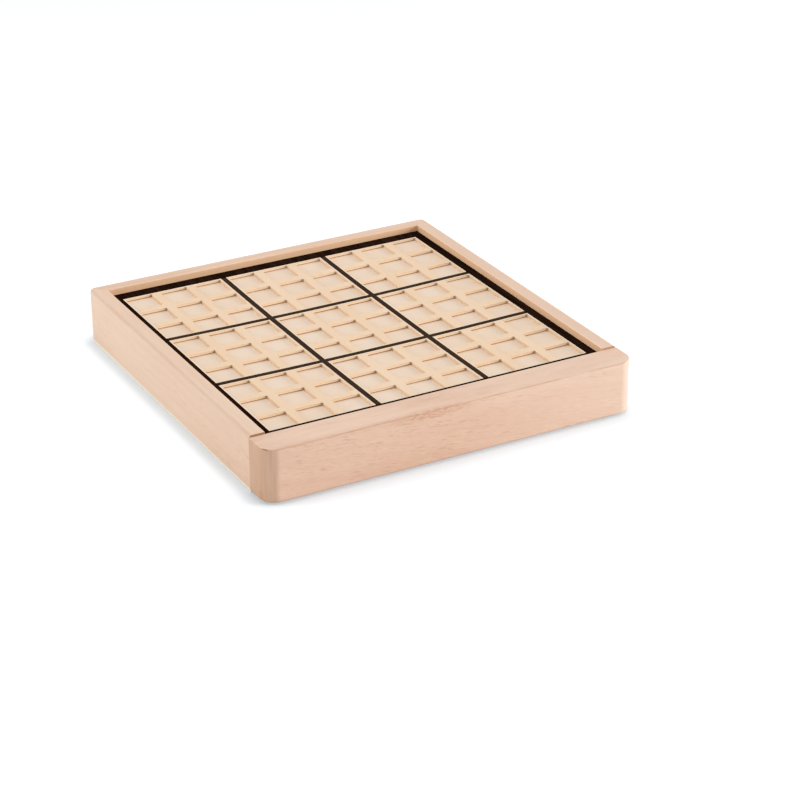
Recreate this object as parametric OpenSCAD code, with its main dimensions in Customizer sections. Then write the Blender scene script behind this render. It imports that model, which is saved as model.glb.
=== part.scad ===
// Sudoku board: a shallow beech case with a recessed grid of cells on top
// and a drawer at the front that holds the number tiles.
// Millimetres. The drawer front faces -Y, and the case stands on Z = 0.

/* [Grid] */
// Side of one square cell
cell = 14; // [10:0.5:20]
// Width of the bar between two cells
bar_w = 4.7; // [3:0.1:8]
// Unpainted rim around the outer cells
rim_w = 0.9; // [0.5:0.1:3]
// Depth of a cell, which is the thickness of the grid
cell_d = 1.5; // [1:0.1:4]
// Width of the painted line between two blocks
line_w = 2.7; // [1:0.1:2.8]
// Thickness of the paint
paint_t = 0.1; // [0.05:0.05:0.3]

/* [Painted border] */
// Border beside the grid
side_border = 4.8; // [2:0.1:12]
// Border behind the grid
back_border = 6.7; // [2:0.1:12]
// Border in front of the grid
front_border = 5; // [2:0.1:12]

/* [Case] */
// Thickness of the rails
rail_t = 7.5; // [5:0.5:14]
// Height of the rail tops over the grid
recess_d = 3.3; // [1:0.1:6]
// Thickness of the board sheet under the grid
sheet_t = 3; // [2:0.5:6]
// Depth of the groove in the rails that holds the board sheet
sheet_groove = 3; // [1:0.5:4]
// Height of the space for the drawer
bay_h = 18.8; // [16:0.1:40]
// Thickness of the base panel under the rails
base_t = 1.4; // [1:0.1:4]
// Radius of the upright corners at the back
back_corner_r = 3; // [1:0.5:5]

/* [Drawer] */
// Thickness of the drawer front
front_t = 16.2; // [12:0.1:30]
// Radius of the upright corners of the drawer front
front_corner_r = 7.5; // [2:0.5:10]
// How far the drawer front stands out past the case on each side
front_over = 0.5; // [0:0.1:3]
// Step from the rail tops down to the top of the drawer front
front_drop = 0.9; // [0:0.1:4]
// Space under the drawer front
front_lift = 0.6; // [0.4:0.1:1.6]
// Gap between the rail ends and the closed drawer front
front_gap = 0.3; // [0.1:0.1:1]
// Thickness of the drawer sides and the drawer back
wall_t = 4; // [3:0.5:6]
// Depth of the pockets in the drawer front that hold the sides
side_pocket = 5; // [2:0.5:8]
// Depth of the rebates in the drawer sides that hold the back
back_rebate = 2; // [1:0.5:2.5]
// Thickness of the drawer bottom
bottom_t = 2; // [1.5:0.5:4]
// Depth of the groove that holds the drawer bottom
bottom_groove = 2; // [1:0.5:2.5]
// Height of the drawer bottom over the lower edge of the sides
bottom_rise = 1.5; // [1:0.5:4]
// Running gap between the drawer sides and the base panel
run_gap = 0.3; // [0.1:0.1:1]
// Clearance beside the drawer sides
side_clear = 0.5; // [0.2:0.1:2]
// Clearance between the drawer sides and the board sheet
top_clear = 3; // [1:0.5:6]
// Space behind the closed drawer
back_clear = 3; // [1:0.5:10]

/* [Number tiles] */
// Thickness of one tile
tile_t = 4; // [3:0.5:5]
// Clearance around a tile in its cell
tile_clear = 0.35; // [0.2:0.05:1]

/* [Hidden] */
$fn = 96;

// Cells along one block, and along the whole grid
block = 3;
cells = block * block;
// How far a cut runs past the face that it opens
overrun = 1;

// Loose lie of the tiles: the largest turn, the share of the free space
// that a tile shifts by, and the angle by which the pattern steps on
tile_turn = 6;
tile_shift_share = 0.12;
tile_step = 137.5;

// Colours
beech = [0.90, 0.76, 0.65];
pale_ply = [0.94, 0.84, 0.70];
base_ply = [0.93, 0.87, 0.77];
black = [0.13, 0.10, 0.09];
tile_wood = [0.93, 0.80, 0.62];

// Plan of the grid and the case
pitch = cell + bar_w;
block_pitch = block * pitch;
grid_w = cells * pitch - bar_w;
light_w = grid_w + 2 * rim_w;
bay_w = light_w + 2 * side_border;
bay_l = light_w + back_border + front_border;
case_w = bay_w + 2 * rail_t;
case_l = bay_l + rail_t;
front_w = case_w + 2 * front_over;
depth = case_l + front_gap + front_t;

// Places from back to front
back_y = depth / 2;
bay_back_y = back_y - rail_t;
grid_y = bay_back_y - back_border - light_w / 2;
ends_y = back_y - case_l;
front_rear_y = ends_y - front_gap;
front_y = front_rear_y - front_t;

// Heights from the table up
sheet_z = base_t + bay_h;
grid_z = sheet_z + sheet_t;
grid_top_z = grid_z + cell_d;
case_top_z = grid_top_z + recess_d;
front_top_z = case_top_z - front_drop;

// The drawer box
box_z = base_t + run_gap;
box_top_z = sheet_z - top_clear;
bottom_z = box_z + bottom_rise;
tray_z = bottom_z + bottom_t;
box_w = bay_w - 2 * side_clear;
tray_w = box_w - 2 * wall_t;
box_back_y = bay_back_y - back_clear;
tray_back_y = box_back_y - wall_t;
tray_l = tray_back_y - front_rear_y;

// The tiles, one to a cell of the tray
tile_w = cell - 2 * tile_clear;
tray_pitch_x = tray_w / cells;
tray_pitch_y = tray_l / cells;

// A box between two opposite corners
module slab(low, high) {
    translate(low)
        cube(high - low);
}

// Edges of grid bar i along one axis; the outer two bars run on to the rails
function bar_low(i, outer) = i == 0 ? outer : i * pitch - bar_w - grid_w / 2;
function bar_high(i, outer) = i == cells ? outer : i * pitch - grid_w / 2;

// Edges of the unpainted window of block i along one axis, from the grid's centre
function window_low(i) = i == 0 ? -light_w / 2 : (i - block / 2) * block_pitch + line_w / 2;
function window_high(i) = i == block - 1 ? light_w / 2 : (i + 1 - block / 2) * block_pitch - line_w / 2;

// Outline of the case, square at the front and rounded at the back
module case_plan() {
    translate([-case_w / 2, ends_y])
        square([case_w, case_l - back_corner_r]);
    translate([back_corner_r - case_w / 2, ends_y])
        square([case_w - 2 * back_corner_r, case_l]);
    for (side = [-1, 1])
        translate([side * (case_w / 2 - back_corner_r), back_y - back_corner_r])
            circle(back_corner_r);
}

// Outline of the drawer front, rounded at its two outer corners
module front_plan() {
    translate([-front_w / 2, front_y + front_corner_r])
        square([front_w, front_t - front_corner_r]);
    translate([front_corner_r - front_w / 2, front_y])
        square([front_w - 2 * front_corner_r, front_t]);
    for (side = [-1, 1])
        translate([side * (front_w / 2 - front_corner_r), front_y + front_corner_r])
            circle(front_corner_r);
}

// Space of the board sheet, run out to y
module sheet_space(y) {
    slab([-bay_w / 2 - sheet_groove, y, sheet_z],
         [bay_w / 2 + sheet_groove, bay_back_y + sheet_groove, grid_z]);
}

// A rail with mitred ends and the groove for the board sheet
module rail(outline) {
    difference() {
        translate([0, 0, base_t])
            intersection() {
                linear_extrude(case_top_z - base_t)
                    case_plan();
                linear_extrude(case_top_z - base_t)
                    polygon(outline);
            }
        sheet_space(ends_y - overrun);
    }
}

// A side rail: side is -1 on the left and 1 on the right
module side_rail(side) {
    rail([
        [side * case_w / 2, ends_y],
        [side * bay_w / 2, ends_y],
        [side * bay_w / 2, bay_back_y],
        [side * case_w / 2, back_y]
    ]);
}

module base_panel() {
    color(base_ply)
        linear_extrude(base_t)
            case_plan();
}

module left_rail() {
    color(beech)
        side_rail(-1);
}

module right_rail() {
    color(beech)
        side_rail(1);
}

module back_rail() {
    color(beech)
        rail([
            [-bay_w / 2, bay_back_y],
            [bay_w / 2, bay_back_y],
            [case_w / 2, back_y],
            [-case_w / 2, back_y]
        ]);
}

module board_sheet() {
    color(pale_ply)
        sheet_space(ends_y);
}

// Bars that run from the left rail to the right rail
module grid_bars_across() {
    color(pale_ply)
        for (i = [0 : cells])
            slab([-bay_w / 2, grid_y + bar_low(i, ends_y - grid_y), grid_z],
                 [bay_w / 2, grid_y + bar_high(i, bay_back_y - grid_y), grid_top_z]);
}

// Short bars between the bars that run across
module grid_bars_down() {
    color(pale_ply)
        for (i = [0 : cells], k = [0 : cells - 1])
            slab([bar_low(i, -bay_w / 2), grid_y + k * pitch - grid_w / 2, grid_z],
                 [bar_high(i, bay_w / 2), grid_y + k * pitch + cell - grid_w / 2, grid_top_z]);
}

// Black paint on the border and between the blocks
module painted_lines() {
    color(black)
        translate([0, 0, grid_top_z])
            linear_extrude(paint_t)
                difference() {
                    translate([-bay_w / 2, ends_y])
                        square([bay_w, bay_l]);
                    for (i = [0 : block - 1], k = [0 : block - 1])
                        translate([window_low(i), grid_y + window_low(k)])
                            square([window_high(i) - window_low(i), window_high(k) - window_low(k)]);
                }
}

// Solid of a drawer side before its grooves are cut
module side_blank(side) {
    translate([side * (tray_w + wall_t) / 2, 0, 0])
        slab([-wall_t / 2, front_rear_y - side_pocket, box_z],
             [wall_t / 2, box_back_y, box_top_z]);
}

// Solid of the drawer back before its groove is cut
module back_blank() {
    slab([-tray_w / 2 - back_rebate, tray_back_y, box_z],
         [tray_w / 2 + back_rebate, box_back_y, box_top_z]);
}

// Solid of the drawer bottom
module bottom_blank() {
    slab([-tray_w / 2 - bottom_groove, front_rear_y - bottom_groove, bottom_z],
         [tray_w / 2 + bottom_groove, tray_back_y + bottom_groove, tray_z]);
}

// A drawer side with its groove and rebate: side is -1 on the left and 1 on the right
module drawer_side(side) {
    difference() {
        side_blank(side);
        bottom_blank();
        back_blank();
    }
}

module drawer_front() {
    color(beech)
        difference() {
            translate([0, 0, front_lift])
                linear_extrude(front_top_z - front_lift)
                    front_plan();
            side_blank(-1);
            side_blank(1);
            bottom_blank();
        }
}

module drawer_left_side() {
    color(pale_ply)
        drawer_side(-1);
}

module drawer_right_side() {
    color(pale_ply)
        drawer_side(1);
}

module drawer_back() {
    color(pale_ply)
        difference() {
            back_blank();
            bottom_blank();
        }
}

module drawer_bottom() {
    color(base_ply)
        bottom_blank();
}

// The nine tiles that carry one number, lying loose in row n from the back
module tile_row(n) {
    color(tile_wood)
        for (k = [1 : cells]) {
            phase = tile_step * (k + cells * n);
            x = (k - (cells + 1) / 2) * tray_pitch_x;
            y = tray_back_y - (n - 1 / 2) * tray_pitch_y;
            shift_x = tile_shift_share * (tray_pitch_x - tile_w) * sin(phase);
            shift_y = tile_shift_share * (tray_pitch_y - tile_w) * cos(phase);
            translate([x + shift_x, y + shift_y, tray_z])
                rotate(tile_turn * sin(2 * phase))
                    translate([-tile_w / 2, -tile_w / 2, 0])
                        cube([tile_w, tile_w, tile_t]);
        }
}

base_panel();
left_rail();
right_rail();
back_rail();
board_sheet();
grid_bars_across();
grid_bars_down();
painted_lines();
drawer_front();
drawer_left_side();
drawer_right_side();
drawer_back();
drawer_bottom();
tile_row(1);  // tiles_1
tile_row(2);  // tiles_2
tile_row(3);  // tiles_3
tile_row(4);  // tiles_4
tile_row(5);  // tiles_5
tile_row(6);  // tiles_6
tile_row(7);  // tiles_7
tile_row(8);  // tiles_8
tile_row(9);  // tiles_9
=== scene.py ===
import math

import bmesh
import bpy
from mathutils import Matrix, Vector


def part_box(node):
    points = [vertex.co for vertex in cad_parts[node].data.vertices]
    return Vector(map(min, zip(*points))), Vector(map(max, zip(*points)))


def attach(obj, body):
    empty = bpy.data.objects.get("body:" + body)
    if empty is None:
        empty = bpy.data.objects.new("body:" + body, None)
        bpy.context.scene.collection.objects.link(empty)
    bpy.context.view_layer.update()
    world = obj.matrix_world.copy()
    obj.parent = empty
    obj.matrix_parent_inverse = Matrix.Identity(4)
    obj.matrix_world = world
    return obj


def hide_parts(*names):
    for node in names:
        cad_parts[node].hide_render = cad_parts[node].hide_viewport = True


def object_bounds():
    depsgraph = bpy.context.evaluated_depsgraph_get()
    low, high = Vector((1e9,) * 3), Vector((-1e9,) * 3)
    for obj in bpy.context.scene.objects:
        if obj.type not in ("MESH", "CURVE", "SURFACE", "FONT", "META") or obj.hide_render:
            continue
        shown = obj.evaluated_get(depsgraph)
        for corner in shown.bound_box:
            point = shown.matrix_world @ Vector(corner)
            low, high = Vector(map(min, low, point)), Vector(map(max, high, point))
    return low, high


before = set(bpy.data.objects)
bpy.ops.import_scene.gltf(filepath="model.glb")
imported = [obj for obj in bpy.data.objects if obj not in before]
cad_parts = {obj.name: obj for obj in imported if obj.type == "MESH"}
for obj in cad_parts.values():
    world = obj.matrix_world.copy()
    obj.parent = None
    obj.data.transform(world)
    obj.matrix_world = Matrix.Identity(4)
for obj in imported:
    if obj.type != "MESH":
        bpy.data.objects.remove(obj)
cadLow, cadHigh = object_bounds()
mm = 0.001

# places that the pieces share, from the frame
railLow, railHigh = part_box("left_rail")
baseLow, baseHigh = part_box("base_panel")
sheetLow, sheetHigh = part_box("board_sheet")
gridLow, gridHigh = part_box("grid_bars_across")
cellsLow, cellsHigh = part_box("grid_bars_down")
filmLow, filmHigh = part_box("painted_lines")
frontLow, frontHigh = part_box("drawer_front")
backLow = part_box("drawer_back")[0]
bottomLow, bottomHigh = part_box("drawer_bottom")
caseBackY = baseHigh.y
caseHalfWidth = baseHigh.x
bayHalfWidth = gridHigh.x
bayBackY = gridHigh.y
railEndY = railLow.y
trayHalfWidth = -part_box("drawer_left_side")[1].x
print("frame loaded,", len(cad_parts), "nodes")

# how all pieces are finished, angles in degrees
finishing = {"smoothAngle": 35, "softAngle": 40, "normalWeight": 60, "nearness": 0.01 * mm}


# selecting and shaping

def deselectAll():
    if bpy.context.mode != "OBJECT":
        bpy.ops.object.mode_set(mode="OBJECT")
    bpy.ops.object.select_all(action="DESELECT")


def makeActive(piece):
    deselectAll()
    piece.select_set(True)
    bpy.context.view_layer.objects.active = piece


def editMode(piece, kind):
    makeActive(piece)
    bpy.ops.object.mode_set(mode="EDIT")
    bpy.ops.mesh.select_mode(type=kind)
    bpy.ops.mesh.select_all(action="DESELECT")
    return bmesh.from_edit_mesh(piece.data)


def near(value, wanted):
    return abs(value - wanted) < finishing["nearness"]


def bothAt(a, b, axis, wanted):
    return near(getattr(a, axis), wanted) and near(getattr(b, axis), wanted)


def blockBetween(name, low, high):
    low, high = Vector(low), Vector(high)
    deselectAll()
    bpy.ops.mesh.primitive_cube_add(size=1, location=(low + high) / 2)
    piece = bpy.context.active_object
    piece.name = name
    piece.scale = high - low
    bpy.ops.object.transform_apply(location=True, rotation=False, scale=True)
    return piece


def sheetBetween(name, low, high, z):
    deselectAll()
    bpy.ops.mesh.primitive_plane_add(size=1, location=((low.x + high.x) / 2, (low.y + high.y) / 2, z))
    piece = bpy.context.active_object
    piece.name = name
    piece.scale = (high.x - low.x, high.y - low.y, 1)
    bpy.ops.object.transform_apply(location=True, rotation=False, scale=True)
    return piece


def bevelEdges(piece, width, segments, wanted):
    work = editMode(piece, "EDGE")
    for edge in work.edges:
        edge.select_set(wanted(edge.verts[0].co, edge.verts[1].co))
    bmesh.update_edit_mesh(piece.data)
    bpy.ops.mesh.bevel(offset=width, segments=segments, affect="EDGES", clamp_overlap=True)
    bpy.ops.object.mode_set(mode="OBJECT")


def applyModifier(piece, kind, **settings):
    makeActive(piece)
    modifier = piece.modifiers.new(kind.lower(), kind)
    for name, value in settings.items():
        setattr(modifier, name, value)
    bpy.ops.object.modifier_apply(modifier=modifier.name)


def softenEdges(piece, width, segments):
    angle = math.radians(finishing["softAngle"])
    applyModifier(piece, "BEVEL", width=width, segments=segments, limit_method="ANGLE", angle_limit=angle)


def cutAway(piece, cutter):
    applyModifier(piece, "BOOLEAN", operation="DIFFERENCE", solver="EXACT", object=cutter)
    bpy.data.objects.remove(cutter)


def bisectAt(piece, axis, places):
    normal = [0.0, 0.0, 0.0]
    normal[axis] = 1.0
    for place in places:
        editMode(piece, "FACE")
        bpy.ops.mesh.select_all(action="SELECT")
        point = [place * n for n in normal]
        bpy.ops.mesh.bisect(plane_co=point, plane_no=normal)
    bpy.ops.object.mode_set(mode="OBJECT")


def deleteFaces(piece, wanted):
    work = editMode(piece, "FACE")
    for face in work.faces:
        face.select_set(wanted(face.calc_center_median()))
    bmesh.update_edit_mesh(piece.data)
    bpy.ops.mesh.delete(type="FACE")
    bpy.ops.object.mode_set(mode="OBJECT")


def copyOf(piece, name):
    twin = piece.copy()
    twin.data = piece.data.copy()
    twin.name = name
    bpy.context.collection.objects.link(twin)
    return twin


def keepSide(piece, point, outward):
    editMode(piece, "FACE")
    bpy.ops.mesh.select_all(action="SELECT")
    bpy.ops.mesh.bisect(plane_co=point, plane_no=outward, use_fill=True, clear_outer=True)
    bpy.ops.object.mode_set(mode="OBJECT")


def finishPiece(piece, body, slot, material, *nodes):
    makeActive(piece)
    bpy.ops.object.shade_smooth_by_angle(angle=math.radians(finishing["smoothAngle"]))
    applyModifier(piece, "WEIGHTED_NORMAL", keep_sharp=True, weight=finishing["normalWeight"])
    if material is not None:
        piece.data.materials.clear()
        piece.data.materials.append(material)
    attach(piece, body)
    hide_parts(*nodes)


# material nodes

def colour(red, green, blue):
    shares = (channel / 255 for channel in (red, green, blue))
    return tuple(s / 12.92 if s <= 0.04045 else ((s + 0.055) / 1.055) ** 2.4 for s in shares) + (1.0,)


def addNode(tree, kind, sockets=None, **settings):
    node = tree.nodes.new("ShaderNode" + kind)
    for name, value in settings.items():
        setattr(node, name, value)
    for name, value in (sockets or {}).items():
        if isinstance(value, bpy.types.NodeSocket):
            tree.links.new(value, node.inputs[name])
        else:
            node.inputs[name].default_value = value
    return node


def newMaterial(name):
    material = bpy.data.materials.new(name)
    material.use_nodes = True
    tree = material.node_tree
    place = addNode(tree, "TexCoord").outputs["Object"]
    return material, tree, tree.nodes["Principled BSDF"], place


def noiseNode(tree, vector, scale, detail):
    stretched = addNode(tree, "Mapping", {"Vector": vector, "Scale": scale}).outputs["Vector"]
    return addNode(tree, "TexNoise", {"Vector": stretched, "Scale": 1.0, "Detail": detail})


def noiseOf(tree, vector, scale, detail=2.0):
    return noiseNode(tree, vector, scale, detail).outputs["Fac"]


def rangeOf(tree, value, low, high, toLow=0.0, toHigh=1.0):
    sockets = {"Value": value, "From Min": low, "From Max": high, "To Min": toLow, "To Max": toHigh}
    return addNode(tree, "MapRange", sockets, interpolation_type="SMOOTHSTEP").outputs["Result"]


def mathOf(tree, operation, first, second=0.0):
    return addNode(tree, "Math", {0: first, 1: second}, operation=operation).outputs["Value"]


def vectorOf(tree, operation, first, second):
    return addNode(tree, "VectorMath", {0: first, 1: second}, operation=operation).outputs["Vector"]


def mixOf(tree, factor, first, second, kind="MIX"):
    sockets = {"Fac": factor, "Color1": first, "Color2": second}
    return addNode(tree, "MixRGB", sockets, blend_type=kind).outputs["Color"]


def stained(tree, body, share, depth, stain):
    return mixOf(tree, mathOf(tree, "MULTIPLY", share, depth), body, stain)


def axisOf(tree, vector, axis):
    return addNode(tree, "SeparateXYZ", {"Vector": vector}).outputs[axis]


def awayFrom(tree, place, axis, middle):
    return mathOf(tree, "ABSOLUTE", mathOf(tree, "SUBTRACT", axisOf(tree, place, axis), middle))


# how squarely a face looks along an axis, either way
def shareAlong(tree, axis):
    normal = addNode(tree, "NewGeometry").outputs["Normal"]
    return mathOf(tree, "ABSOLUTE", axisOf(tree, normal, axis))


# colour, roughness and fine relief of a grained surface
def dressShader(tree, shader, body, grain, height, look):
    tree.links.new(body, shader.inputs["Base Color"])
    tree.links.new(rangeOf(tree, grain, 0.2, 0.8, *look["roughness"]), shader.inputs["Roughness"])
    shader.inputs["Specular IOR Level"].default_value = look["specular"]
    relief = {"Height": height, "Strength": look["bump"], "Distance": look["bumpDepth"]}
    tree.links.new(addNode(tree, "Bump", relief).outputs["Normal"], shader.inputs["Normal"])


# case rails, mitred at the back
caseRails = {
    "arris": 0.15 * mm, "arrisSteps": 3, "endArris": 0.2 * mm, "endSteps": 2,
    "outerArris": 1.2 * mm, "outerSteps": 4, "cornerRadius": 3 * mm, "cornerSteps": 8,
    "overrun": 10 * mm, "bayMargin": 0.2 * mm,
}


# beech: rails, drawer front and tiles

def beechMaterial(name, look):
    material, tree, shader, place = newMaterial(name)
    turn = tuple(math.radians(angle) for angle in look["turn"])
    sockets = {"Vector": place, "Location": look["pith"], "Rotation": turn}
    grain = addNode(tree, "Mapping", sockets).outputs["Vector"]
    bent = waved(tree, grain, look)
    rings = ringsOf(tree, bent, look)
    lines = noiseOf(tree, bent, look["lineScale"], 3.0)
    flecks = flecksOf(tree, grain, bent, look)
    rays = rangeOf(tree, noiseOf(tree, bent, look["rayScale"], 1.0), *look["rayRange"])
    tone = rangeOf(tree, noiseOf(tree, grain, look["toneScale"]), *look["toneRange"])
    body = mixOf(tree, tone, look["pale"], look["warm"])
    body = stained(tree, body, rings, look["ringDepth"], look["dark"])
    body = mixOf(tree, rangeOf(tree, lines, *look["lineRange"], 0, look["lineDepth"]), body, look["dark"])
    body = stained(tree, body, rays, look["rayDepth"], look["ray"])
    body = stained(tree, body, flecks, look["fleckDepth"], look["fleck"])
    for blush in look["blushes"]:
        body = blushed(tree, place, flecks, body, blush)
    body = mixOf(tree, endShare(tree, place, look), body, endGrainColour(tree, place, look))
    if "darkArris" in look:
        arris = look["darkArris"]
        body = mixOf(tree, handledArris(tree, place, lines, arris), body, arris["colour"])
    # painted light: the rails' faces over the board are coloured warmer and lighter
    if "bayLightColour" in look:
        body = stained(tree, body, insideBay(tree, place), look["bayLightDepth"], look["bayLightColour"])
    height = mathOf(tree, "SUBTRACT", lines, mathOf(tree, "MULTIPLY", flecks, look["poreDepth"]))
    dressShader(tree, shader, body, lines, height, look)
    return material


# the grain's lines wander a little
def waved(tree, grain, look):
    wander = noiseNode(tree, grain, look["waveScale"], 1.0).outputs["Color"]
    offset = vectorOf(tree, "SUBTRACT", wander, (0.5, 0.5, 0.5))
    shift = vectorOf(tree, "MULTIPLY", offset, (0, look["wave"], look["wave"]))
    return vectorOf(tree, "ADD", grain, shift)


def ringsOf(tree, bent, look):
    sockets = {
        "Vector": bent, "Scale": look["ringScale"], "Distortion": look["ringWander"],
        "Detail": 2.0, "Detail Scale": 1.0,
    }
    return addNode(tree, "TexWave", sockets, wave_type="RINGS", rings_direction="X").outputs["Fac"]


# short dark flecks, mostly on the broad faces and crowded in places
def flecksOf(tree, grain, bent, look):
    flecks = rangeOf(tree, noiseOf(tree, bent, look["fleckScale"], 1.0), *look["fleckRange"])
    broad = rangeOf(tree, shareAlong(tree, look["fleckAxis"]), *look["broadRange"])
    crowded = rangeOf(tree, noiseOf(tree, grain, look["crowdScale"]), *look["crowdRange"])
    return mathOf(tree, "MULTIPLY", flecks, mathOf(tree, "MULTIPLY", broad, crowded))


# share of a soft-edged spot at a place
def spotShare(tree, place, spot):
    sockets = {"Vector": place, "Location": spot["centre"], "Scale": spot["reach"]}
    fromSpot = addNode(tree, "Mapping", sockets, vector_type="TEXTURE").outputs["Vector"]
    patch = addNode(tree, "TexGradient", {"Vector": fromSpot}, gradient_type="SPHERICAL").outputs["Fac"]
    return rangeOf(tree, patch, 0.0, marks["spotFade"], 0.0, spot["depth"])


# a patch of another tone in the grain, broken up by the flecks
def blushed(tree, place, flecks, body, blush):
    mottle = noiseOf(tree, place, marks["mottleScale"])
    mottle = rangeOf(tree, mottle, *marks["mottleRange"], blush["evenness"], 1.0)
    share = mathOf(tree, "MULTIPLY", spotShare(tree, place, blush), mottle)
    body = mixOf(tree, share, body, blush["colour"])
    return stained(tree, body, share, flecks, blush["dark"])


# share of end grain, by the way a face looks; a mitred rail shows it at its front end alone
def endShare(tree, place, look):
    share = rangeOf(tree, shareAlong(tree, look["grainAxis"]), *look["endFrom"])
    if "mitredFrom" not in look:
        return share
    ahead = mathOf(tree, "LESS_THAN", axisOf(tree, place, "Y"), look["mitredFrom"])
    return mathOf(tree, "MULTIPLY", share, ahead)


# end grain: soft streaks up the cut face, scorched where the cutter paused, and painted lighter toward the
# right-hand end, where more light falls
def endGrainColour(tree, place, look):
    streaks = rangeOf(tree, noiseOf(tree, place, look["endScale"], 3.0), *look["endStreaks"])
    # painted light: each end-grain colour pair runs from the left end to the lighter right-hand end
    paler = rangeOf(tree, axisOf(tree, place, "X"), -caseHalfWidth / 2, caseHalfWidth / 2)
    light = mixOf(tree, paler, *look["endPale"])
    dark = mixOf(tree, paler, *look["endDark"])
    cut = mixOf(tree, streaks, light, dark)
    squareOn = rangeOf(tree, shareAlong(tree, look["grainAxis"]), *look["endSquare"])
    cut = mixOf(tree, squareOn, cut, look["endDeep"])
    for scorch in look["scorches"]:
        cut = mixOf(tree, spotShare(tree, place, scorch), cut, scorch["colour"])
    return cut


# share of an outer top arris, which is coloured a little darker along its rounding
def handledArris(tree, place, lines, arris):
    fromSide = mathOf(tree, "SUBTRACT", arris["side"], awayFrom(tree, place, arris["axis"], 0))
    fromTop = mathOf(tree, "SUBTRACT", arris["top"], axisOf(tree, place, "Z"))
    away = mathOf(tree, "ADD", fromSide, fromTop)
    start, end = (share * arris["reach"] for share in marks["darkArrisFade"])
    rounded = rangeOf(tree, away, start, end, 1, 0)
    return mathOf(tree, "MULTIPLY", rounded, rangeOf(tree, lines, *marks["darkArrisLines"], arris["depth"]))


# faces that look into the bay over the board, painted warmer and lighter as a stand-in for light bounced
# onto them from the board
def insideBay(tree, place):
    margin = caseRails["bayMargin"]
    sideways = mathOf(tree, "LESS_THAN", awayFrom(tree, place, "X", 0), bayHalfWidth + margin)
    backwards = mathOf(tree, "LESS_THAN", axisOf(tree, place, "Y"), bayBackY + margin)
    return mathOf(tree, "MULTIPLY", sideways, backwards)


marks = {
    "spotFade": 0.7, "mottleScale": (420, 420, 1500), "mottleRange": (0.35, 0.7),
    "darkArrisFade": (0.6, 1.1), "darkArrisLines": (0.3, 0.6, 0.1),
}
beechLook = {
    "turn": (0, 0, 0), "pith": (0, 0.05, 0.03),
    "waveScale": (16, 55, 55), "wave": 0.004,
    "ringScale": 90, "ringWander": 2.5, "ringDepth": 0.08,
    "lineScale": (16, 420, 420), "lineRange": (0.45, 0.8), "lineDepth": 0.28,
    "rayScale": (190, 1250, 1250), "rayRange": (0.56, 0.74), "rayDepth": 0.25,
    "fleckScale": (180, 2100, 2100), "fleckRange": (0.56, 0.72), "fleckDepth": 0.3,
    "fleckAxis": "Y", "broadRange": (0.3, 0.8, 0.15, 1.0),
    "crowdScale": (40, 160, 160), "crowdRange": (0.38, 0.62, 0.3, 1.0),
    "toneScale": (11, 60, 60), "toneRange": (0.35, 0.65),
    "pale": colour(236, 205, 182), "warm": colour(228, 192, 168), "dark": colour(208, 164, 137),
    "ray": colour(243, 214, 193), "fleck": colour(190, 142, 114),
    "grainAxis": "X", "endFrom": (0.06, 0.36),
    "endScale": (900, 900, 50), "endStreaks": (0.35, 0.65), "endSquare": (0.6, 1.0, 0, 0.3),
    "endPale": (colour(225, 187, 159), colour(234, 209, 192)),
    "endDark": (colour(217, 178, 150), colour(229, 202, 183)),
    "endDeep": colour(172, 132, 102),
    "scorches": [], "blushes": [],
    "roughness": (0.52, 0.68), "specular": 0.3, "bump": 0.15, "bumpDepth": 0.15 * mm, "poreDepth": 0.4,
}
frontBeech = beechMaterial("frontBeech", dict(
    beechLook, turn=(0, -8, 0), rayDepth=0.38,
    darkArris={
        "axis": "Y", "side": -frontLow.y, "top": frontHigh.z, "reach": 0.6 * mm,
        "depth": 0.45, "colour": colour(194, 144, 110),
    },
    scorches=[
        {
            "centre": (frontLow.x + 1.5 * mm, frontLow.y + 3 * mm, frontHigh.z),
            "reach": (1.8 * mm, 2.6 * mm, 0.8 * mm), "depth": 0.9, "colour": colour(150, 104, 68),
        },
        {
            "centre": (frontLow.x, frontLow.y + 6 * mm, frontLow.z + 3 * mm),
            "reach": (2 * mm, 2.5 * mm, 3 * mm), "depth": 0.5, "colour": colour(200, 152, 98),
        },
    ],
    blushes=[
        {
            "centre": (-40 * mm, frontLow.y, frontLow.z), "reach": (115 * mm, 4 * mm, 90 * mm),
            "depth": 0.45, "evenness": 0.6, "colour": colour(222, 175, 149), "dark": colour(196, 146, 118),
        },
        {
            "centre": (-12 * mm, frontLow.y, frontHigh.z - 1.5 * mm), "reach": (27 * mm, 4 * mm, 3 * mm),
            "depth": 0.8, "evenness": 0.2, "colour": colour(206, 154, 124), "dark": colour(146, 94, 64),
        },
        {
            "centre": (85 * mm, frontLow.y + 8 * mm, frontHigh.z), "reach": (95 * mm, 40 * mm, 60 * mm),
            "depth": 0.38, "evenness": 0.8, "colour": colour(237, 210, 190), "dark": colour(212, 174, 150),
        },
    ],
))
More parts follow.
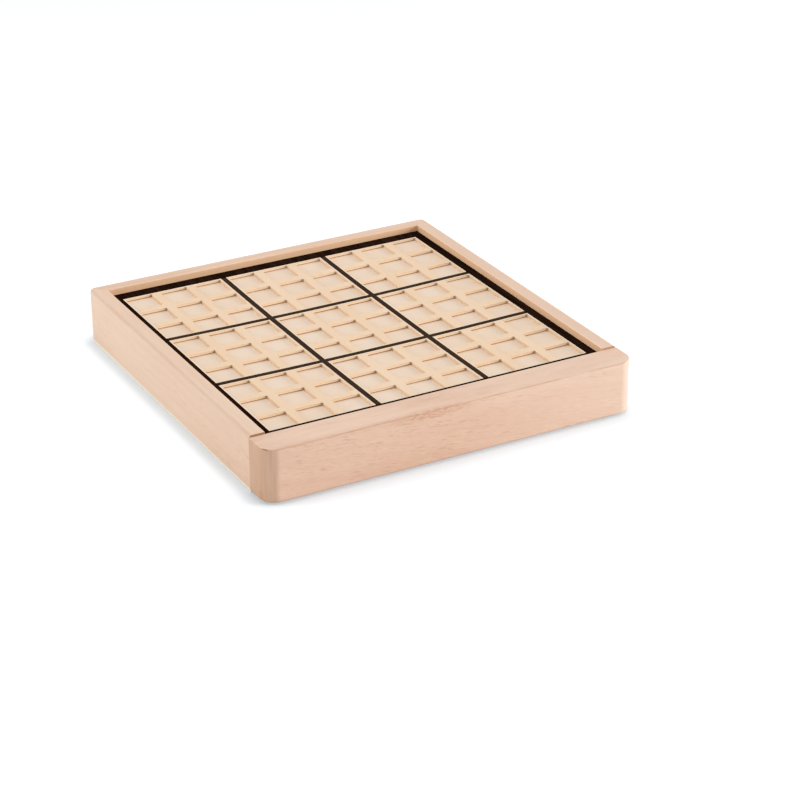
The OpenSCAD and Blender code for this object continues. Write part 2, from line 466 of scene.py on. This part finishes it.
# rails: inner faces over the board are painted warmer and lighter, standing in for bounced light
railLook = dict(beechLook, bayLightColour=colour(252, 205, 161), bayLightDepth=0.8, mitredFrom=0)
crossBeech = beechMaterial("crossBeech", railLook)
sideBeech = beechMaterial("sideBeech", dict(
    railLook, turn=(0, 0, -90), pith=(0.03, 0.06, 0.05), grainAxis="Y", fleckAxis="X",
    fleckDepth=0.2, lineDepth=0.12, rayDepth=0.12, ringDepth=0.06, endScale=(50, 900, 900),
    pale=colour(236, 207, 183), warm=colour(234, 203, 179),
    # end-grain colours from the left rail's end to the right rail's, the left painted darker as if in shade
    endPale=(colour(190, 138, 102), colour(222, 182, 154)),
    endDark=(colour(172, 120, 84), colour(210, 166, 138)),
    darkArris={
        "axis": "X", "side": caseHalfWidth, "top": railHigh.z, "reach": caseRails["outerArris"],
        "depth": 0.35, "colour": colour(206, 166, 140),
    },
    blushes=[
        {
            "centre": (caseHalfWidth, 0, railHigh.z), "reach": (12 * mm, 250 * mm, 6 * mm),
            "depth": 0.5, "evenness": 0.7, "colour": colour(222, 191, 167), "dark": colour(200, 164, 138),
        },
        {
            "centre": (-caseHalfWidth, railEndY, railLow.z), "reach": (8 * mm, 80 * mm, 40 * mm),
            "depth": 0.5, "evenness": 0.6, "colour": colour(226, 188, 162), "dark": colour(204, 160, 132),
        },
    ],
))
print("beech made")


# board: nine by nine cells, with the painted lines between the blocks
board = {
    "cellsPerSide": 9, "blockCells": 3, "cellSide": 14 * mm, "cellArris": 0.15 * mm, "cellSteps": 2,
    "lineWidth": 2.7 * mm, "rim": 0.9 * mm, "frontRim": 0.5 * mm, "sheetArris": 0.1 * mm,
    "sag": 1.0 * mm, "sagPoints": 5, "sagHeights": 4,
}
cellPitch = (cellsHigh.y - cellsLow.y - board["cellSide"]) / (board["cellsPerSide"] - 1)
cellsHalf = (cellsHigh.y - cellsLow.y) / 2
cellsMiddleY = (cellsLow.y + cellsHigh.y) / 2


# plywood: board sheet, grid, base panel and drawer box

def plyFace(tree, place, look):
    streaks = noiseOf(tree, place, look["grainScale"], 3.0)
    tone = noiseOf(tree, place, look["toneScale"], look["toneDetail"])
    body = mixOf(tree, rangeOf(tree, tone, *look["toneRange"]), look["pale"], look["warm"])
    share = rangeOf(tree, streaks, *look["streakRange"], 0, look["streakDepth"])
    return streaks, mixOf(tree, share, body, look["dark"])


def plyMaterial(name, look):
    material, tree, shader, place = newMaterial(name)
    streaks, face = plyFace(tree, place, look)
    layer = addNode(tree, "MapRange", {
        "Value": axisOf(tree, place, look["thickAxis"]), "From Min": look["low"], "From Max": look["high"],
        "To Min": 0, "To Max": look["layers"],
    }).outputs["Result"]
    stripe = rangeOf(tree, mathOf(tree, "PINGPONG", layer, 1.0), *look["stripeRange"])
    edge = mixOf(tree, stripe, look["edgePale"], look["edgeDark"])
    faceShare = rangeOf(tree, shareAlong(tree, look["thickAxis"]), *look["faceRange"])
    dressShader(tree, shader, mixOf(tree, faceShare, edge, face), streaks, streaks, look)
    return material


plyLook = {
    "grainScale": (25, 420, 420), "streakRange": (0.45, 0.8), "streakDepth": 0.25,
    "toneScale": (22, 22, 22), "toneDetail": 2.0, "toneRange": (0.3, 0.7),
    "pale": colour(238, 217, 194), "warm": colour(233, 209, 182), "dark": colour(214, 184, 150),
    "layers": 3, "stripeRange": (0.35, 0.65), "faceRange": (0.6, 0.8),
    "edgePale": colour(238, 222, 198), "edgeDark": colour(206, 170, 130),
    "roughness": (0.55, 0.7), "specular": 0.25, "bump": 0.1, "bumpDepth": 0.1 * mm,
}


def plyBetween(name, low, high, axis, **changes):
    index = "XYZ".index(axis)
    return plyMaterial(name, dict(plyLook, thickAxis=axis, low=low[index], high=high[index], **changes))


floorPly = plyBetween(
    "floorPly", sheetLow, sheetHigh, "Z", streakDepth=0.12,
    pale=colour(242, 222, 202), warm=colour(239, 216, 193), dark=colour(226, 198, 170),
)
basePly = plyBetween(
    "basePly", baseLow, baseHigh, "Z", pale=colour(240, 228, 208), warm=colour(236, 220, 196),
    edgePale=colour(253, 242, 226), edgeDark=colour(248, 230, 208),
)
bottomPly = plyBetween("bottomPly", bottomLow, bottomHigh, "Z")

gridLook = dict(
    plyLook, grainScale=(380, 24, 380), streakDepth=0.2, toneScale=(40, 12, 40), toneDetail=1.0,
    pale=colour(242, 215, 186), warm=colour(240, 210, 178), dark=colour(222, 186, 148),
    masked=colour(252, 234, 212), maskDepth=0.7, maskReach=(0.2 * mm, 0.9 * mm), maskRim=0.4 * mm,
    roughness=(0.52, 0.68),
)


# share of the bare wood's edge along the painted lines, where the masking left it paler
def besidePaint(tree, place, look):
    lineOut = board["blockCells"] / 2 * cellPitch
    start, end = (board["lineWidth"] / 2 + reach for reach in look["maskReach"])
    paler = 0.0
    for axis, middle in (("X", 0), ("Y", cellsMiddleY)):
        out = awayFrom(tree, place, axis, middle)
        fromLine = mathOf(tree, "ABSOLUTE", mathOf(tree, "SUBTRACT", out, lineOut))
        beside = rangeOf(tree, fromLine, start, end, 1, 0)
        border = rangeOf(tree, out, cellsHalf, cellsHalf + look["maskRim"])
        paler = mathOf(tree, "MAXIMUM", paler, mathOf(tree, "MAXIMUM", beside, border))
    return paler


def gridTopMaterial(look):
    material, tree, shader, place = newMaterial("gridTop")
    streaks, face = plyFace(tree, place, look)
    body = stained(tree, face, besidePaint(tree, place, look), look["maskDepth"], look["masked"])
    dressShader(tree, shader, body, streaks, streaks, look)
    return material


# cell walls: toasted along their edges by the laser, and painted with shade: a dark line at the foot of the
# walls facing front, partly toast and partly painted contact shade, a fainter dark line along their top,
# walls facing sideways painted darker as if in shade, and the far right-hand corner darkened
wallToastShadeLook = {
    "wobbleScale": (900, 900, 200), "wobble": 0.2 * mm, "facing": (0.4, 0.8),
    "footReach": (0.4 * mm, 0.7 * mm), "lipReach": (-0.15 * mm, 0.05 * mm), "lipDepth": 0.4,
    "pale": colour(249, 224, 192), "warm": colour(245, 216, 182), "line": colour(177, 134, 97),
    "side": colour(229, 200, 168), "sideShadeDepth": 0.8,
    "corner": colour(160, 118, 82), "cornerDepth": 0.55, "cornerReach": (1.6 * mm, 0.2 * mm),
    "roughness": 0.75, "specular": 0.15,
}


# share of the way into the far right-hand corner of a cell, darkened partly as laser scorch and partly as
# painted shade where the walls meet
def smokyCorner(tree, place, look):
    start, end = (board["cellSide"] - reach for reach in look["cornerReach"])
    shares = []
    for axis, first in (("X", -cellsHalf), ("Y", cellsLow.y)):
        along = mathOf(tree, "SUBTRACT", axisOf(tree, place, axis), first)
        shares.append(rangeOf(tree, mathOf(tree, "MODULO", along, cellPitch), start, end))
    return mathOf(tree, "MULTIPLY", *shares)


# share of the board's sag at a place, zero along the rails
def sagShare(tree, place):
    shares = []
    for axis, low, high in (("X", gridLow.x, gridHigh.x), ("Y", gridLow.y, gridHigh.y)):
        out = mathOf(tree, "SUBTRACT", axisOf(tree, place, axis), (low + high) / 2)
        half = mathOf(tree, "DIVIDE", out, (high - low) / 2)
        shares.append(mathOf(tree, "SUBTRACT", 1.0, mathOf(tree, "MULTIPLY", half, half)))
    return mathOf(tree, "MULTIPLY", *shares)


def toastedEdgeMaterial(look):
    material, tree, shader, place = newMaterial("wallToastShade")
    wobble = noiseOf(tree, place, look["wobbleScale"])
    sunk = mathOf(tree, "MULTIPLY", sagShare(tree, place), board["sag"])
    rise = mathOf(tree, "ADD", axisOf(tree, place, "Z"), sunk)
    rise = mathOf(tree, "ADD", rise, mathOf(tree, "MULTIPLY", wobble, look["wobble"]))
    # the foot line is partly laser toast and partly painted contact shade; it and the top line go only on
    # walls facing front
    foot = rangeOf(tree, rise, *(gridLow.z + reach for reach in look["footReach"]), 1, 0)
    lip = rangeOf(tree, rise, *(gridHigh.z + reach for reach in look["lipReach"]), 0, look["lipDepth"])
    across = rangeOf(tree, shareAlong(tree, "Y"), *look["facing"])
    lines = mathOf(tree, "MULTIPLY", mathOf(tree, "MAXIMUM", foot, lip), across)
    # painted shade: walls that face sideways are coloured darker
    sideways = rangeOf(tree, shareAlong(tree, "X"), *look["facing"], 0, look["sideShadeDepth"])
    body = mixOf(tree, wobble, look["pale"], look["warm"])
    body = mixOf(tree, sideways, body, look["side"])
    body = mixOf(tree, lines, body, look["line"])
    # painted shade and scorch gathered in the far right-hand corner
    body = stained(tree, body, smokyCorner(tree, place, look), look["cornerDepth"], look["corner"])
    tree.links.new(body, shader.inputs["Base Color"])
    shader.inputs["Roughness"].default_value = look["roughness"]
    shader.inputs["Specular IOR Level"].default_value = look["specular"]
    return material


paintLook = {
    "grainScale": (380, 24, 380), "grainRange": (0.35, 0.75),
    "dark": colour(31, 17, 10), "pale": colour(48, 31, 21),
    "lineLight": colour(76, 59, 46), "lineLightDepth": 0.6,
    "roughness": (0.7, 0.85), "specular": 0.0, "bump": 0.15, "bumpDepth": 0.1 * mm,
}


# matt black, painted lighter on the lines between the blocks than on the border, which lies in shade beside
# the rails
def blackPaintMaterial(look):
    material, tree, shader, place = newMaterial("blackPaint")
    grain = noiseOf(tree, place, look["grainScale"], 3.0)
    body = mixOf(tree, rangeOf(tree, grain, *look["grainRange"]), look["dark"], look["pale"])
    # painted light: the lines inside the grid are lightened, and the border stays dark as if in shade
    lineLight = look["lineLightDepth"]
    for axis, middle in (("X", 0), ("Y", cellsMiddleY)):
        out = awayFrom(tree, place, axis, middle)
        inner = rangeOf(tree, out, cellsHalf, cellsHalf + board["rim"], 1, 0)
        lineLight = mathOf(tree, "MULTIPLY", inner, lineLight)
    body = mixOf(tree, lineLight, body, look["lineLight"])
    dressShader(tree, shader, body, grain, grain, look)
    return material


gridTop = gridTopMaterial(gridLook)
wallToastShade = toastedEdgeMaterial(wallToastShadeLook)
blackPaint = blackPaintMaterial(paintLook)
print("plywood and paint made")


# case: three mitred rails cut from one frame, on the base panel
basePanel = {"arris": 0.15 * mm, "arrisSteps": 2}


def uprightAtBack(a, b):
    return near(a.x, b.x) and bothAt(a, b, "y", caseBackY)


def makeCaseFrame():
    low = Vector((-caseHalfWidth, railEndY, railLow.z))
    high = Vector((caseHalfWidth, caseBackY, railHigh.z))
    ring = blockBetween("caseFrame", low, high)
    bevelEdges(ring, caseRails["cornerRadius"], caseRails["cornerSteps"], uprightAtBack)
    over = caseRails["overrun"]
    bayLow = (-bayHalfWidth, railEndY - over, railLow.z - over)
    bayHigh = (bayHalfWidth, bayBackY, railHigh.z + over)
    cutAway(ring, blockBetween("bay", bayLow, bayHigh))
    radius = caseRails["cornerRadius"]

    def outside(v):
        return abs(v.x) > bayHalfWidth + radius or v.y > bayBackY + radius

    def outerTop(a, b):
        atEnd = bothAt(a, b, "y", railEndY)
        return bothAt(a, b, "z", railHigh.z) and outside(a) and outside(b) and not atEnd

    def innerTop(a, b):
        return bothAt(a, b, "z", railHigh.z) and not outside(a) and not outside(b)

    def endTop(a, b):
        return bothAt(a, b, "z", railHigh.z) and bothAt(a, b, "y", railEndY)
    bevelEdges(ring, caseRails["outerArris"], caseRails["outerSteps"], outerTop)
    bevelEdges(ring, caseRails["arris"], caseRails["arrisSteps"], innerTop)
    bevelEdges(ring, caseRails["endArris"], caseRails["endSteps"], endTop)
    cutAway(ring, blockBetween("groove", sheetLow - Vector((0, over, 0)), sheetHigh))
    return ring


def makeRails():
    ring = makeCaseFrame()
    left = copyOf(ring, "leftRail")
    right = copyOf(ring, "rightRail")
    ring.name = "backRail"
    leftCorner = (-bayHalfWidth, bayBackY, 0)
    rightCorner = (bayHalfWidth, bayBackY, 0)
    keepSide(left, leftCorner, (1, 1, 0))
    keepSide(left, (0, 0, 0), (1, 0, 0))
    keepSide(right, rightCorner, (-1, 1, 0))
    keepSide(right, (0, 0, 0), (-1, 0, 0))
    keepSide(ring, leftCorner, (-1, -1, 0))
    keepSide(ring, rightCorner, (1, -1, 0))
    finishPiece(left, "case", "beech", sideBeech, "left_rail")
    finishPiece(right, "case", "beech", sideBeech, "right_rail")
    finishPiece(ring, "case", "beech", crossBeech, "back_rail")


def makeBasePanel():
    panel = blockBetween("basePanel", baseLow, baseHigh)
    bevelEdges(panel, caseRails["cornerRadius"], caseRails["cornerSteps"], uprightAtBack)
    softenEdges(panel, basePanel["arris"], basePanel["arrisSteps"])
    finishPiece(panel, "case", "base_ply", basePly, "base_panel")


makeRails()
makeBasePanel()
print("case made")


# board: the sheet, the cell grid on it and the painted lines
def cellEdges(low):
    ends = (0, board["cellSide"])
    return [low + k * cellPitch + end for k in range(board["cellsPerSide"]) for end in ends]


def inSpans(value, places):
    return any(a < value < b for a, b in zip(places[0::2], places[1::2]))


# the board has sunk a little in the middle: a lattice over the bay bends each of its pieces alike
def sagBoard(piece):
    deselectAll()
    middle = ((gridLow.x + gridHigh.x) / 2, (gridLow.y + gridHigh.y) / 2, sheetLow.z)
    bpy.ops.object.add(type="LATTICE", location=middle)
    cage = bpy.context.active_object
    height = board["sagHeights"] * (filmHigh.z - sheetLow.z)
    cage.scale = (gridHigh.x - gridLow.x, gridHigh.y - gridLow.y, height)
    cage.data.points_u = board["sagPoints"]
    cage.data.points_v = board["sagPoints"]
    cage.data.interpolation_type_u = "KEY_CATMULL_ROM"
    cage.data.interpolation_type_v = "KEY_CATMULL_ROM"
    for point in cage.data.points:
        share = (1 - (2 * point.co.x) ** 2) * (1 - (2 * point.co.y) ** 2)
        point.co_deform.z -= board["sag"] * share / cage.scale.z
    bpy.context.view_layer.update()
    applyModifier(piece, "LATTICE", object=cage)
    bpy.data.objects.remove(cage)


def makeGrid():
    alongX = cellEdges(-cellsHalf)
    alongY = cellEdges(cellsLow.y)
    grid = sheetBetween("cellGrid", gridLow, gridHigh, gridHigh.z)
    bisectAt(grid, 0, alongX)
    bisectAt(grid, 1, alongY)
    deleteFaces(grid, lambda centre: inSpans(centre.x, alongX) and inSpans(centre.y, alongY))
    applyModifier(grid, "SOLIDIFY", thickness=gridHigh.z - gridLow.z, offset=-1)
    softenEdges(grid, board["cellArris"], board["cellSteps"])
    grid.data.materials.append(gridTop)
    grid.data.materials.append(wallToastShade)
    for face in grid.data.polygons:
        # walls take the toast and painted shade material
        face.material_index = 1 if abs(face.normal.z) < 0.5 else 0  # walls are toasted
    sagBoard(grid)
    finishPiece(grid, "case", "grid_ply", None, "grid_bars_across", "grid_bars_down")
    return alongX, alongY


def makePaintedLines(alongX, alongY):
    def windows(edges, firstRim):
        half = board["lineWidth"] / 2
        blockEdges = 2 * board["blockCells"]
        places = [edges[0] - firstRim]
        for first in range(blockEdges, len(edges), blockEdges):
            middle = (edges[first - 1] + edges[first]) / 2
            places += [middle - half, middle + half]
        return places + [edges[-1] + board["rim"]]
    acrossX = windows(alongX, board["rim"])
    acrossY = windows(alongY, board["frontRim"])
    film = sheetBetween("paintedLines", filmLow, filmHigh, filmLow.z)
    bisectAt(film, 0, acrossX)
    bisectAt(film, 1, acrossY)
    deleteFaces(film, lambda centre: inSpans(centre.x, acrossX) and inSpans(centre.y, acrossY))
    bisectAt(film, 0, alongX)
    bisectAt(film, 1, alongY)
    applyModifier(film, "SOLIDIFY", thickness=filmHigh.z - filmLow.z, offset=1)
    sagBoard(film)
    finishPiece(film, "case", "black_paint", blackPaint, "painted_lines")


def makeBoardSheet(alongX, alongY):
    sheet = blockBetween("boardSheet", sheetLow, sheetHigh)
    softenEdges(sheet, board["sheetArris"], 1)
    bisectAt(sheet, 0, [gridLow.x, *alongX, gridHigh.x])
    bisectAt(sheet, 1, [gridLow.y, *alongY, gridHigh.y])
    sagBoard(sheet)
    finishPiece(sheet, "case", "board_ply", floorPly, "board_sheet")


alongX, alongY = makeGrid()
makePaintedLines(alongX, alongY)
makeBoardSheet(alongX, alongY)
print("board made")


# drawer: front block with the box behind it
drawer = {
    "cornerRadius": 7.5 * mm, "cornerSteps": 14, "arris": 0.25 * mm, "arrisSteps": 3,
    "rearArris": 0.7 * mm, "rearSteps": 2, "footRadius": 1.5 * mm, "footSteps": 5,
    "wallArris": 0.3 * mm, "wallSteps": 2, "bottomArris": 0.1 * mm,
}


def makeDrawerFront():
    front = blockBetween("drawerFront", frontLow, frontHigh)

    def uprightAtFront(a, b):
        return near(a.x, b.x) and bothAt(a, b, "y", frontLow.y)

    def topEdge(a, b):
        return bothAt(a, b, "z", frontHigh.z) and not bothAt(a, b, "y", frontHigh.y)

    def rearEdge(a, b):
        return bothAt(a, b, "z", frontHigh.z) and bothAt(a, b, "y", frontHigh.y)

    def footEdge(a, b):
        return bothAt(a, b, "z", frontLow.z)
    bevelEdges(front, drawer["cornerRadius"], drawer["cornerSteps"], uprightAtFront)
    bevelEdges(front, drawer["arris"], drawer["arrisSteps"], topEdge)
    bevelEdges(front, drawer["rearArris"], drawer["rearSteps"], rearEdge)
    bevelEdges(front, drawer["footRadius"], drawer["footSteps"], footEdge)
    for node in ("drawer_left_side", "drawer_right_side", "drawer_bottom"):
        cutAway(front, blockBetween("pocket", *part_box(node)))
    finishPiece(front, "drawer", "beech", frontBeech, "drawer_front")


def makeDrawerWall(name, node, axis, *cutters):
    low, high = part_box(node)
    wall = blockBetween(name, low, high)

    def topEdge(a, b):
        return bothAt(a, b, "z", high.z)
    bevelEdges(wall, drawer["wallArris"], drawer["wallSteps"], topEdge)
    for cutter in cutters:
        cutAway(wall, blockBetween("groove", *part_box(cutter)))
    finishPiece(wall, "drawer", "drawer_ply", plyBetween(name + "Ply", low, high, axis), node)


def makeDrawerBottom():
    bottom = blockBetween("drawerBottom", bottomLow, bottomHigh)
    softenEdges(bottom, drawer["bottomArris"], 1)
    finishPiece(bottom, "drawer", "base_ply", bottomPly, "drawer_bottom")


makeDrawerFront()
makeDrawerWall("drawerLeftSide", "drawer_left_side", "X", "drawer_bottom", "drawer_back")
makeDrawerWall("drawerRightSide", "drawer_right_side", "X", "drawer_bottom", "drawer_back")
makeDrawerWall("drawerBack", "drawer_back", "Y", "drawer_bottom")
makeDrawerBottom()
print("drawer made")


# number tiles, loose in the drawer
tiles = {
    "side": 13.3 * mm, "arris": 0.5 * mm, "arrisSteps": 3, "turn": 6.0, "shiftShare": 0.12, "step": 137.5,
    "numberSize": 10.5 * mm, "numberSteps": 4, "inkThickness": 0.04 * mm,
    "ink": colour(30, 24, 22), "wornInk": colour(52, 42, 37),
    "inkScale": (1400, 1400, 1400), "inkRoughness": 0.6,
    "endPale": colour(216, 180, 138), "endDark": colour(196, 156, 116),
}


def tileMaterial():
    return beechMaterial("tileBeech", dict(
        beechLook, pale=colour(236, 208, 172), warm=colour(230, 198, 158), fleckAxis="Z",
        endPale=(tiles["endPale"], tiles["endPale"]), endDark=(tiles["endDark"], tiles["endDark"]),
    ))


def inkMaterial():
    material, tree, shader, place = newMaterial("numberInk")
    wear = noiseOf(tree, place, tiles["inkScale"])
    tree.links.new(mixOf(tree, wear, tiles["ink"], tiles["wornInk"]), shader.inputs["Base Color"])
    shader.inputs["Roughness"].default_value = tiles["inkRoughness"]
    return material


def makeTile(height):
    half = tiles["side"] / 2
    tile = blockBetween("tile", (-half, -half, 0), (half, half, height))
    softenEdges(tile, tiles["arris"], tiles["arrisSteps"])
    return tile


def makeNumber(number, height):
    deselectAll()
    bpy.ops.object.text_add(location=(0, 0, 0))
    text = bpy.context.active_object
    text.data.body = str(number)
    text.data.size = tiles["numberSize"]
    text.data.align_x = "CENTER"
    text.data.align_y = "CENTER"
    text.data.resolution_u = tiles["numberSteps"]
    text.data.extrude = tiles["inkThickness"] / 2
    bpy.ops.object.convert(target="MESH")
    text = bpy.context.active_object
    low = Vector([min(v.co[i] for v in text.data.vertices) for i in range(3)])
    high = Vector([max(v.co[i] for v in text.data.vertices) for i in range(3)])
    middle = (low + high) / 2
    text.location = (-middle.x, -middle.y, height - low.z)
    bpy.ops.object.transform_apply(location=True)
    return text


def makeTiles():
    floor = bottomHigh.z
    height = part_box("tiles_1")[1].z - floor
    count = board["cellsPerSide"]
    pitchX = 2 * trayHalfWidth / count
    pitchY = (backLow.y - frontHigh.y) / count
    tileWood = tileMaterial()
    ink = inkMaterial()
    blank = makeTile(height)
    for number in range(1, count + 1):
        marked = copyOf(blank, "markedTile")
        digit = makeNumber(number, height)
        marked.data.materials.append(tileWood)
        digit.data.materials.append(ink)
        makeActive(marked)
        digit.select_set(True)
        bpy.ops.object.join()
        copies = []
        for k in range(1, count + 1):
            phase = math.radians(tiles["step"] * (k + count * number))
            shiftX = tiles["shiftShare"] * math.sin(phase) * (pitchX - tiles["side"])
            shiftY = tiles["shiftShare"] * math.cos(phase) * (pitchY - tiles["side"])
            tile = copyOf(marked, "tileCopy")
            tile.location = (
                (k - (count + 1) / 2) * pitchX + shiftX, backLow.y - (number - 0.5) * pitchY + shiftY, floor,
            )
            tile.rotation_euler.z = math.radians(tiles["turn"]) * math.sin(2 * phase)
            copies.append(tile)
        deselectAll()
        for tile in copies:
            tile.select_set(True)
        bpy.context.view_layer.objects.active = copies[0]
        bpy.ops.object.transform_apply(location=True, rotation=True, scale=True)
        bpy.ops.object.join()
        row = bpy.context.active_object
        row.name = f"tiles{number}"
        bpy.data.objects.remove(marked)
        finishPiece(row, "drawer", "tile_wood", None, f"tiles_{number}")
    bpy.data.objects.remove(blank)


makeTiles()
print("tiles made")


# stage, light and camera
stageLook = {
    "floorSize": 6.0, "floorGap": 0.1 * mm, "floorRoughness": 0.9, "worldStrength": 0.5,
    "floor": colour(244, 245, 246), "paper": colour(228, 232, 236),
    "paintedShadow": {"reach": 8.5 * mm, "lean": (0.4, -0.6, 0.69), "range": (0.45, 1.0)},
    "paintedShadowTint": (0.75, 0.755, 0.755, 1), "glow": (0.84, 0.95, 1, 1),
    "glowReach": {"reach": 30 * mm, "lean": (-0.5, 0.3, 0.81), "range": (0.45, 1.0)},
    "foot": {"reach": 2.5 * mm, "lean": (0, 0, 1), "range": (0.1, 0.48)}, "footGlow": 0.3,
    "nearGlow": 0.29, "openGlow": 0.42, "farGlow": 0.9, "nearFloor": 0.25, "farFloor": 1.5,
}
lamps = {
    "keyLamp": {"place": (0.15, 0.10, 1.20), "size": 0.5, "power": 2.9},
    "leftLamp": {"place": (-1.10, 0.40, 0.52), "size": 0.8, "power": 6.3},
    "frontLamp": {"place": (1.10, -0.75, 0.35), "size": 0.6, "power": 12.0},
}
photoCamera = {
    "place": (-0.4779, -0.9213, 0.4959), "turn": (63.84, 0.29, -28.81),
    "lens": 106.7, "sensorWidth": 36, "clipStart": 0.01,
}


def seenDirectly(tree):
    path = addNode(tree, "LightPath")
    seen = mathOf(tree, "MAXIMUM", path.outputs["Is Camera Ray"], path.outputs["Is Glossy Ray"])
    return mathOf(tree, "MAXIMUM", seen, path.outputs["Is Transmission Ray"])


# share of the light that gets past the object to a place on the floor
def openFloor(tree, look):
    lean = addNode(tree, "CombineXYZ", dict(zip("XYZ", look["lean"]))).outputs["Vector"]
    sockets = {"Distance": look["reach"], "Normal": lean}
    return rangeOf(tree, addNode(tree, "AmbientOcclusion", sockets).outputs["AO"], *look["range"])


def makeStage():
    deselectAll()
    height = cadLow.z - stageLook["floorGap"]
    bpy.ops.mesh.primitive_plane_add(size=stageLook["floorSize"], location=(0, 0, height))
    floor = bpy.context.active_object
    floor.name = "floor"
    material, tree, shader, place = newMaterial("floorPaper")
    seen = seenDirectly(tree)
    # painted shadow: the floor is darkened near the object by ambient occlusion, more strongly on the
    # object's left side
    tint = mixOf(tree, openFloor(tree, stageLook["paintedShadow"]), stageLook["paintedShadowTint"], (1, 1, 1, 1))
    paper = mixOf(tree, seen, stageLook["floor"], stageLook["paper"])
    tree.links.new(mixOf(tree, 1.0, paper, tint, "MULTIPLY"), shader.inputs["Base Color"])
    shader.inputs["Roughness"].default_value = stageLook["floorRoughness"]
    shader.inputs["Specular IOR Level"].default_value = 0.0
    tree.links.new(mixOf(tree, 1.0, stageLook["glow"], tint, "MULTIPLY"), shader.inputs["Emission Color"])
    away = addNode(tree, "VectorMath", {0: place}, operation="LENGTH").outputs["Value"]
    far = rangeOf(tree, away, stageLook["nearFloor"], stageLook["farFloor"], 0, stageLook["farGlow"])
    # painted shade: the camera-only glow is weaker near the object
    openness = openFloor(tree, stageLook["glowReach"])
    lowGlow = addNode(tree, "MapRange", {
        "Value": openness, "To Min": stageLook["nearGlow"], "To Max": stageLook["openGlow"],
    }).outputs["Result"]
    # painted light: extra glow on the floor under the drawer front's raised foot lightens the shadow there
    covered = mathOf(tree, "SUBTRACT", 1.0, openFloor(tree, stageLook["foot"]))
    lowGlow = mathOf(tree, "ADD", lowGlow, mathOf(tree, "MULTIPLY", covered, stageLook["footGlow"]))
    glow = mathOf(tree, "MULTIPLY", seen, mathOf(tree, "MAXIMUM", lowGlow, far))
    tree.links.new(glow, shader.inputs["Emission Strength"])
    floor.data.materials.append(material)


def makeWorld():
    world = bpy.data.worlds.new("softRoom")
    bpy.context.scene.world = world
    world.use_nodes = True
    tree = world.node_tree
    light = stageLook["worldStrength"]
    strength = mathOf(tree, "ADD", mathOf(tree, "MULTIPLY", seenDirectly(tree), 1 - light), light)
    background = tree.nodes["Background"]
    background.inputs["Color"].default_value = (1, 1, 1, 1)
    tree.links.new(strength, background.inputs["Strength"])


def makeLamps():
    for name, lamp in lamps.items():
        deselectAll()
        bpy.ops.object.light_add(type="AREA", location=lamp["place"])
        light = bpy.context.active_object
        light.name = name
        light.data.size = lamp["size"]
        light.data.energy = lamp["power"]
        light.rotation_euler = (-Vector(lamp["place"])).to_track_quat("-Z", "Y").to_euler()


def makeCamera():
    deselectAll()
    turn = tuple(math.radians(angle) for angle in photoCamera["turn"])
    bpy.ops.object.camera_add(location=photoCamera["place"], rotation=turn)
    camera = bpy.context.active_object
    camera.data.lens = photoCamera["lens"]
    camera.data.sensor_width = photoCamera["sensorWidth"]
    camera.data.clip_start = photoCamera["clipStart"]
    bpy.context.scene.camera = camera


makeStage()
makeWorld()
makeLamps()
makeCamera()
bpy.context.scene.view_settings.view_transform = "Standard"
print("stage, light and camera made")
